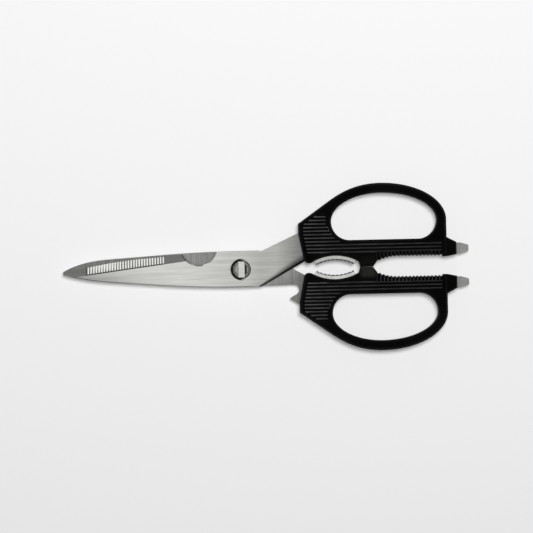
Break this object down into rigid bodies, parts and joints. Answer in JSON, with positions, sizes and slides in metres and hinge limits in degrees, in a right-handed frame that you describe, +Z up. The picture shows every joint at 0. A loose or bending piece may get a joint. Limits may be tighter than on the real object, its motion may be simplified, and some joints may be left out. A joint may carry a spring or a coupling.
{
  "type": "kitchen shears",
  "caption": "Take-apart kitchen shears: serrated blades on a bar stud, ribbed handles with finger loops, nutcracker jaws, toothed grip and screwdriver tips.",
  "frame": {"origin": "under the middle of the closed shears' box, on the surface that they lie on", "axes": "+X from the blade tips to the handles, +Y towards the upper handle of the front half, +Z up from the surface, along the pivot"},
  "size_m": [0.2284, 0.094, 0.012],
  "materials": {
    "blade_steel": "brushed along the blade, darker on the ground bevels",
    "fitting_steel": "satin",
    "handle_plastic": "fine matt moulded"
  },
  "bodies": {
    "rear_half": {"rear_blade": "blade_steel", "lower_handle": "handle_plastic", "pivot_stud": "fitting_steel", "lower_jaw": "fitting_steel", "lower_driver": "fitting_steel"},
    "front_half": {"front_blade": "blade_steel", "upper_handle": "handle_plastic", "upper_jaw": "fitting_steel", "upper_driver": "fitting_steel"}
  },
  "joints": [
    {"name": "blade_pivot", "type": "hinge", "parent": "rear_half", "child": "front_half", "pos_m": [-0.01375, 0, 0.006], "axis": [0, 0, 1], "range_deg": [0, 90]}
  ]
}
